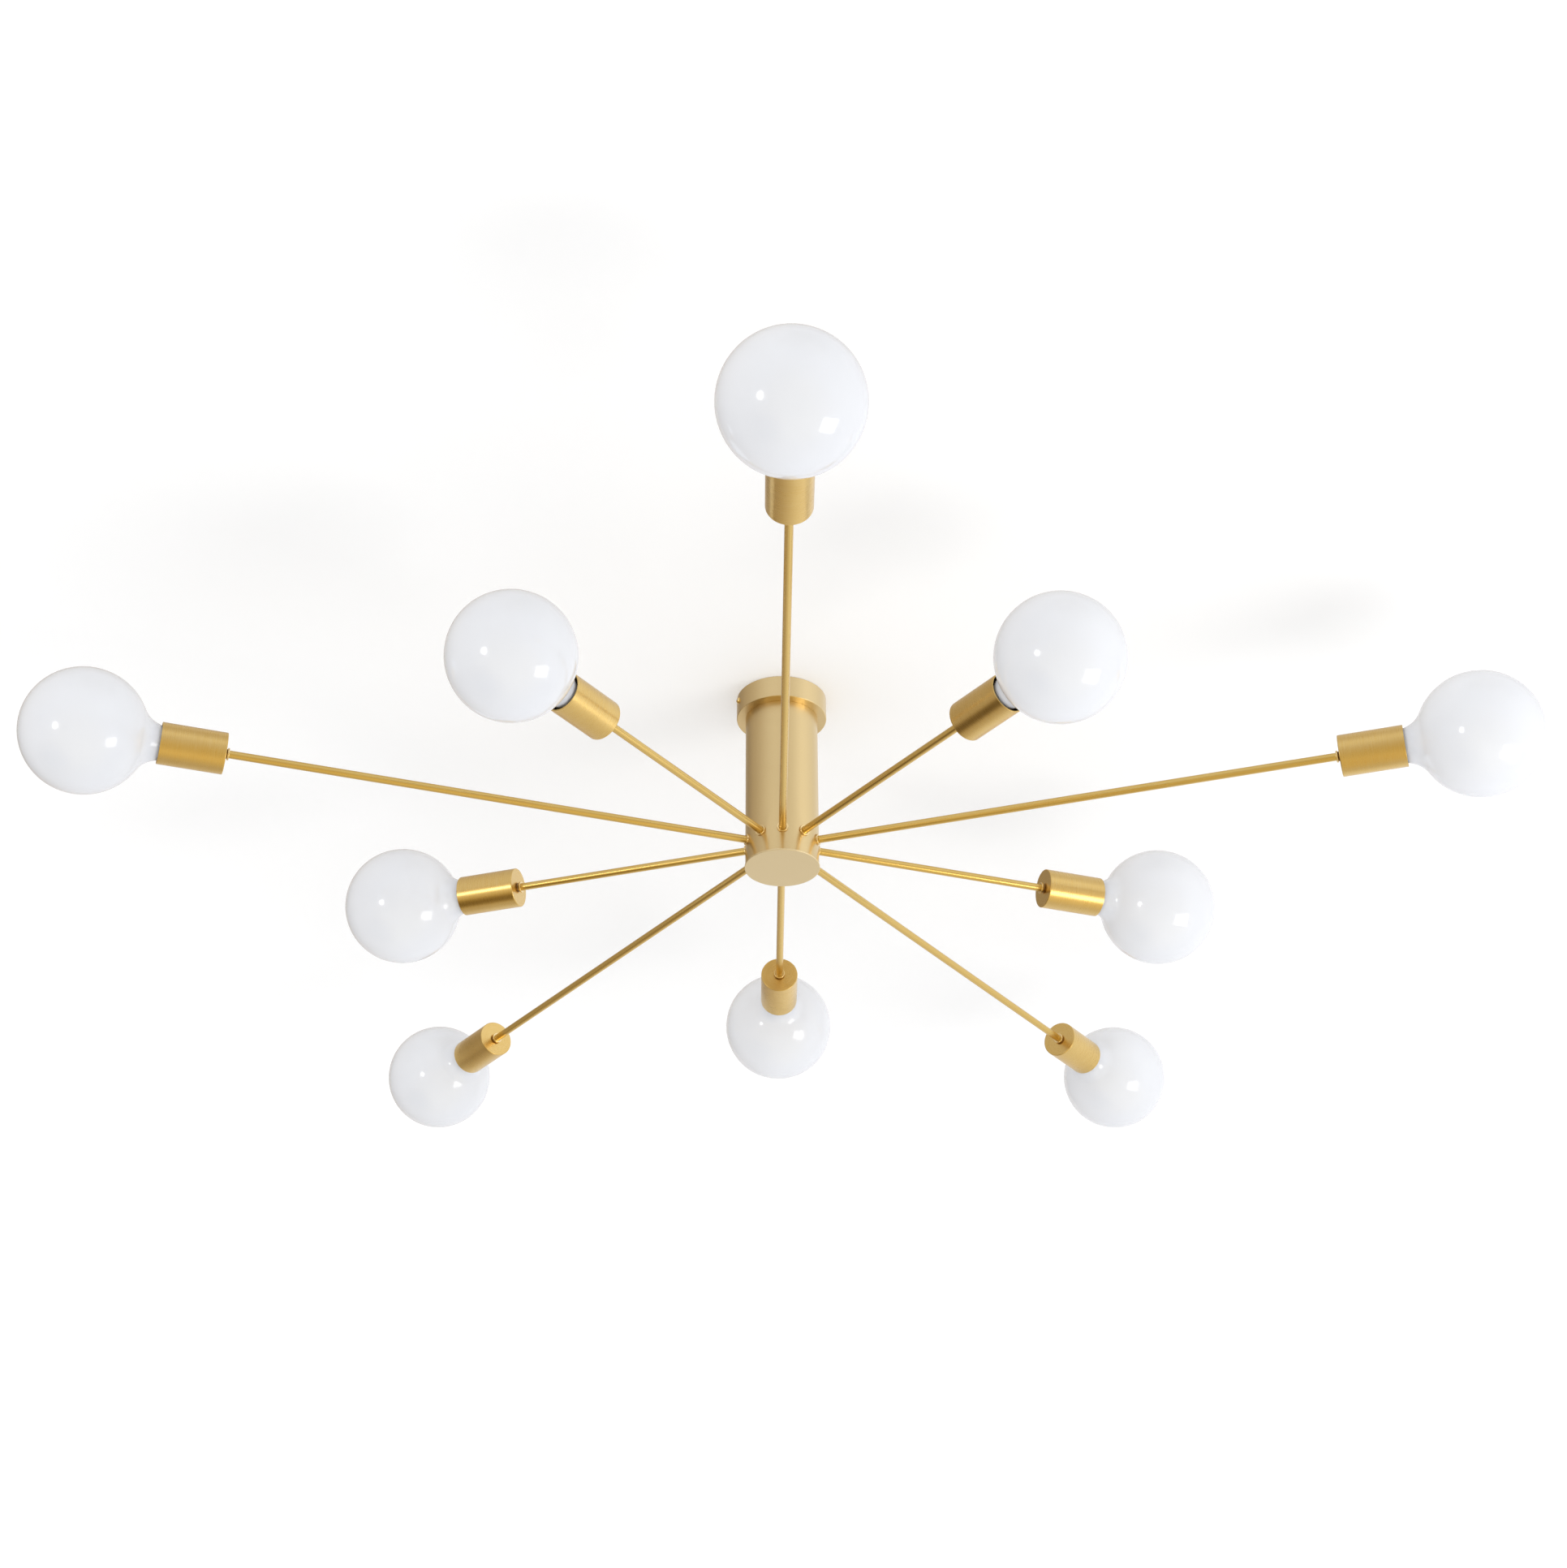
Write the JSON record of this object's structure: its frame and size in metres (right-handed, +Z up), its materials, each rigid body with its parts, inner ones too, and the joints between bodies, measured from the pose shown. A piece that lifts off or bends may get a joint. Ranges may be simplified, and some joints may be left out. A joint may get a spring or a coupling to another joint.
{
  "type": "sputnik ceiling light",
  "caption": "Flush ceiling light: a round canopy and short column carry a ring of straight brass arms, long and short in turn, each ending in a cup with an opal globe bulb.",
  "frame": {"origin": "centre of the ceiling plane, midway between the two slots of the ceiling bracket", "axes": "+Z up, away from the room; the light hangs along -Z; X along the ceiling bracket, through the canopy's side screws; the first long arm points 107 degrees clockwise from +X seen from above"},
  "size_m": [1.4296, 1.4891, 0.244],
  "materials": {
    "satin_brass": "satin, fine grain",
    "brushed_brass": "brushed round the cup, lacquered",
    "arm_brass": "satin, drawn along",
    "screw_brass": "polished",
    "shell_brass": "bright, rolled",
    "zinc_steel": "zinc plated",
    "neck_steel": "bronzed, threaded",
    "opal_glass": "opal white, glossy",
    "cap_metal": "bright, rolled",
    "holder_black": "moulded",
    "block_plastic": "moulded",
    "splice_insulation": "moulded",
    "lead_insulation": "extruded silicone"
  },
  "bodies": {
    "lamp": {"ceiling_bracket": "zinc_steel", "earth_screw": "zinc_steel", "terminal_block": "block_plastic", "canopy": "satin_brass", "canopy_side_screws": "screw_brass", "column_tube": "satin_brass", "column_top_plate": "zinc_steel", "bottom_cover": "satin_brass", "canopy_nipple": "zinc_steel", "nipple_nuts": "zinc_steel", "supply_lead": "lead_insulation", "splice_cover": "splice_insulation", "arm_leads": "lead_insulation", "arm_lock_nuts": "zinc_steel", "hub_collars": "arm_brass", "cup_collars": "arm_brass", "cup_nipples": "neck_steel", "lampholders": "holder_black", "lampholder_shells": "shell_brass", "lampholder_contacts": "shell_brass", "arm_1": "arm_brass", "cup_1": "brushed_brass", "arm_2": "arm_brass", "cup_2": "brushed_brass", "arm_3": "arm_brass", "cup_3": "brushed_brass", "arm_4": "arm_brass", "cup_4": "brushed_brass", "arm_5": "arm_brass", "cup_5": "brushed_brass", "arm_6": "arm_brass", "cup_6": "brushed_brass", "arm_7": "arm_brass", "cup_7": "brushed_brass", "arm_8": "arm_brass", "cup_8": "brushed_brass", "arm_9": "arm_brass", "cup_9": "brushed_brass", "arm_10": "arm_brass", "cup_10": "brushed_brass"},
    "bulb_1": {"globe_1": "opal_glass", "bulb_cap_1": "cap_metal"},
    "bulb_2": {"globe_2": "opal_glass", "bulb_cap_2": "cap_metal"},
    "bulb_3": {"globe_3": "opal_glass", "bulb_cap_3": "cap_metal"},
    "bulb_4": {"globe_4": "opal_glass", "bulb_cap_4": "cap_metal"},
    "bulb_5": {"globe_5": "opal_glass", "bulb_cap_5": "cap_metal"},
    "bulb_6": {"globe_6": "opal_glass", "bulb_cap_6": "cap_metal"},
    "bulb_7": {"globe_7": "opal_glass", "bulb_cap_7": "cap_metal"},
    "bulb_8": {"globe_8": "opal_glass", "bulb_cap_8": "cap_metal"},
    "bulb_9": {"globe_9": "opal_glass", "bulb_cap_9": "cap_metal"},
    "bulb_10": {"globe_10": "opal_glass", "bulb_cap_10": "cap_metal"}
  },
  "joints": [
    {"name": "bulb_1_draw", "type": "slide", "parent": "lamp", "child": "bulb_1", "axis": [-0.2924, -0.9563, 0], "range_m": [0, 0.048]},
    {"name": "bulb_2_draw", "type": "slide", "parent": "lamp", "child": "bulb_2", "axis": [0.3256, -0.9455, 0], "range_m": [0, 0.048]},
    {"name": "bulb_3_draw", "type": "slide", "parent": "lamp", "child": "bulb_3", "axis": [0.8192, -0.5736, 0], "range_m": [0, 0.048]},
    {"name": "bulb_4_draw", "type": "slide", "parent": "lamp", "child": "bulb_4", "axis": [0.9998, 0.0175, 0], "range_m": [0, 0.048]},
    {"name": "bulb_5_draw", "type": "slide", "parent": "lamp", "child": "bulb_5", "axis": [0.7986, 0.6018, 0], "range_m": [0, 0.048]},
    {"name": "bulb_6_draw", "type": "slide", "parent": "lamp", "child": "bulb_6", "axis": [0.2924, 0.9563, 0], "range_m": [0, 0.048]},
    {"name": "bulb_7_draw", "type": "slide", "parent": "lamp", "child": "bulb_7", "axis": [-0.3256, 0.9455, 0], "range_m": [0, 0.048]},
    {"name": "bulb_8_draw", "type": "slide", "parent": "lamp", "child": "bulb_8", "axis": [-0.8192, 0.5736, 0], "range_m": [0, 0.048]},
    {"name": "bulb_9_draw", "type": "slide", "parent": "lamp", "child": "bulb_9", "axis": [-0.9998, -0.0175, 0], "range_m": [0, 0.048]},
    {"name": "bulb_10_draw", "type": "slide", "parent": "lamp", "child": "bulb_10", "axis": [-0.7986, -0.6018, 0], "range_m": [0, 0.048]}
  ]
}
